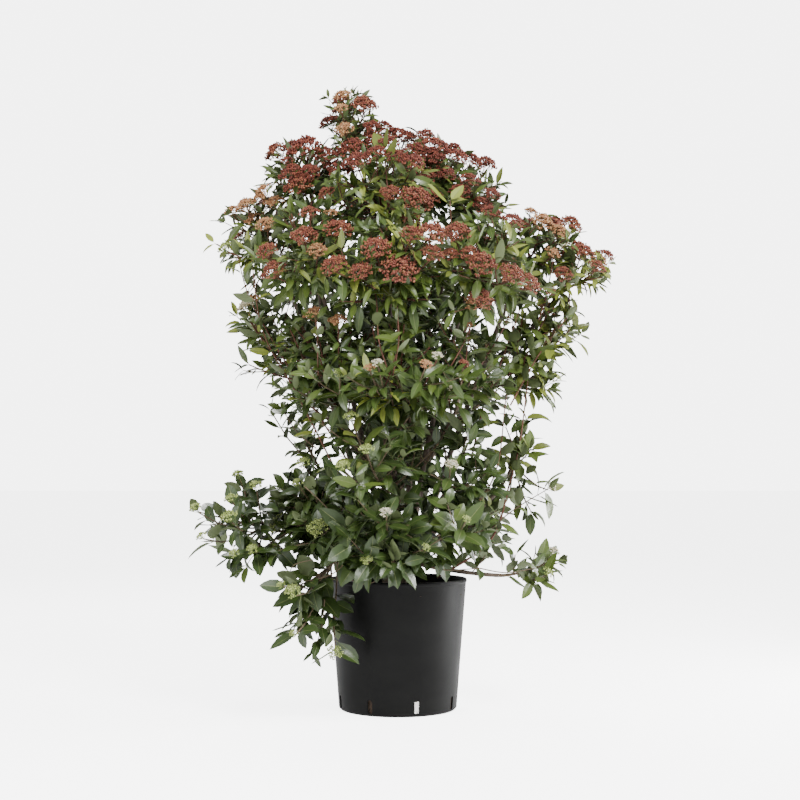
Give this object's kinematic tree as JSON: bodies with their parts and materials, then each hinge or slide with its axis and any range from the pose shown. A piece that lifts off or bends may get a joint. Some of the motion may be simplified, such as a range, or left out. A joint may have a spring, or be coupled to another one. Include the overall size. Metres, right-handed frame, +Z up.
{
  "type": "potted laurustinus shrub",
  "caption": "Tall evergreen laurustinus shrub of many upright stems in flower bud, standing in a round black nursery pot with drainage slots.",
  "frame": {"origin": "centre of the pot's flat underside, where the pot stands", "axes": "+Z up along the pot's axis, -Y towards the viewer of the picture, +X to the viewer's right"},
  "size_m": [0.9675, 0.8377, 1.4477],
  "materials": {
    "pot": "smooth moulded black plastic, half matt",
    "soil": "moist peat and bark compost",
    "bark": "thin brown bark, fissured low down",
    "foliage": "glossy evergreen leaves and matt flower buds"
  },
  "bodies": {
    "root": {"pot": "pot", "soil": "soil", "stool": "bark", "stem_spire": "bark", "stem_crest_right": "bark", "stem_shoulder_right": "bark", "stem_shoulder_right_front": "bark", "stem_shoulder_front": "bark", "stem_shoulder_left_front": "bark", "stem_shoulder_left": "bark", "stem_shoulder_left_back": "bark", "stem_shoulder_back": "bark", "stem_shoulder_right_back": "bark", "bough_crest_left": "bark", "bough_crest_front": "bark", "bough_crest_back": "bark", "bough_crest_far_right": "bark", "bough_wing_right": "bark", "bough_loin_right": "bark", "bough_skirt_left": "bark", "bough_skirt_right": "bark", "foliage_spire": "foliage", "foliage_crest_right": "foliage", "foliage_shoulder_right": "foliage", "foliage_shoulder_right_front": "foliage", "foliage_shoulder_front": "foliage", "foliage_shoulder_left_front": "foliage", "foliage_shoulder_left": "foliage", "foliage_shoulder_left_back": "foliage", "foliage_shoulder_back": "foliage", "foliage_shoulder_right_back": "foliage", "foliage_crest_left": "foliage", "foliage_crest_front": "foliage", "foliage_crest_back": "foliage", "foliage_crest_far_right": "foliage", "foliage_wing_right": "foliage", "foliage_waist_left": "foliage", "foliage_waist_left_front": "foliage", "foliage_waist_front": "foliage", "foliage_waist_right_front": "foliage", "foliage_waist_right": "foliage", "foliage_waist_right_back": "foliage", "foliage_waist_back": "foliage", "foliage_waist_left_back": "foliage", "foliage_heart_high": "foliage", "foliage_heart_low": "foliage", "foliage_loin_left": "foliage", "foliage_loin_front": "foliage", "foliage_loin_right_front": "foliage", "foliage_loin_right": "foliage", "foliage_loin_back": "foliage", "foliage_skirt_left": "foliage", "foliage_skirt_left_front": "foliage", "foliage_skirt_front": "foliage", "foliage_skirt_right_front": "foliage", "foliage_skirt_right": "foliage", "foliage_skirt_right_back": "foliage", "foliage_skirt_left_back": "foliage", "foliage_skirt_left_inner": "foliage"}
  },
  "joints": []
}
